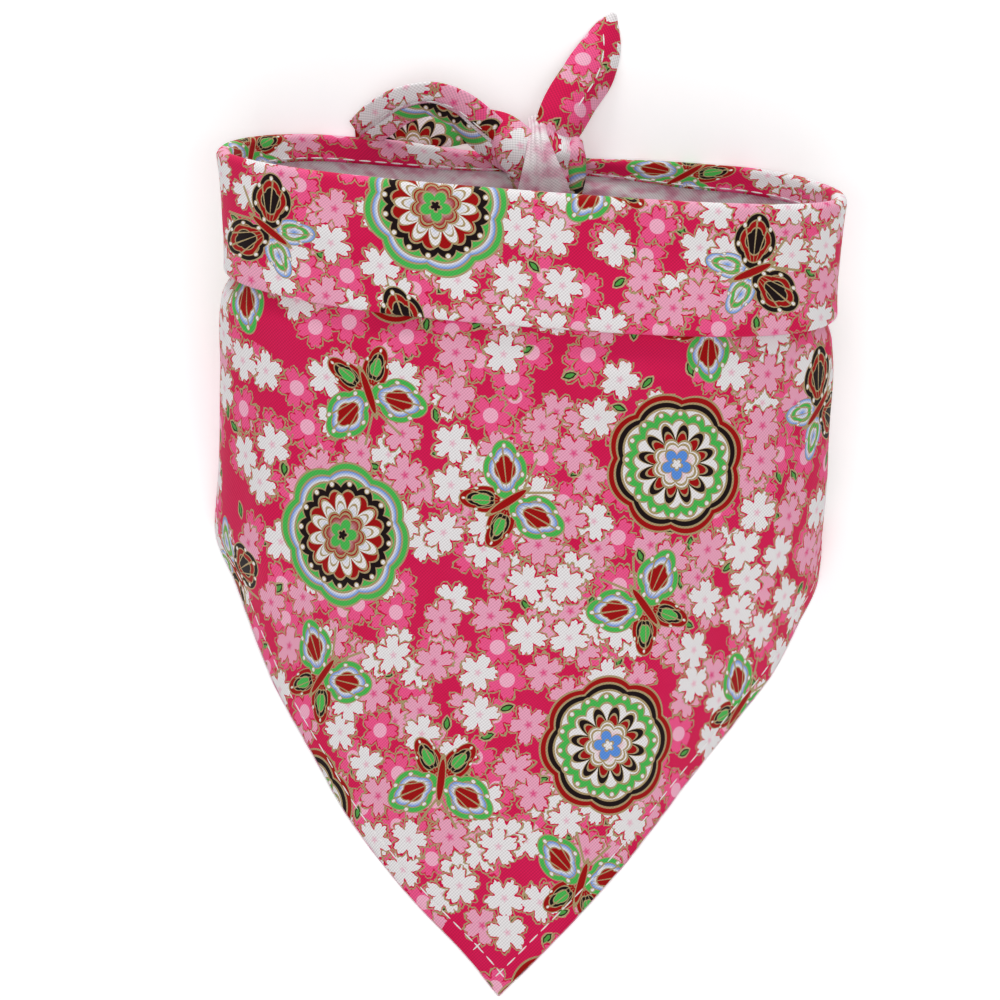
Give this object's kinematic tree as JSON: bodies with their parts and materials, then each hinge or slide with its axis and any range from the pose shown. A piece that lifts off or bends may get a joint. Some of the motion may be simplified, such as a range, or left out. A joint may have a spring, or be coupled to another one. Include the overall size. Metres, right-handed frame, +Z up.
{
  "type": "pet bandana",
  "caption": "Triangular printed cotton pet bandana with a folded cuff round the neck, a pointed bib in front and narrow stitched hems, tied behind the neck in a knot with free ends.",
  "frame": {"origin": "on the surface that the bandana lies on, under the middle of its box", "axes": "+Y from the tip of the bib to the knot, +Z up through the front of the bib, +X to the right as the printed front is seen"},
  "size_m": [0.1904, 0.2966, 0.0755],
  "materials": {
    "printed_cotton": "matte"
  },
  "bodies": {
    "root": {"bandana": "printed_cotton"}
  },
  "joints": []
}
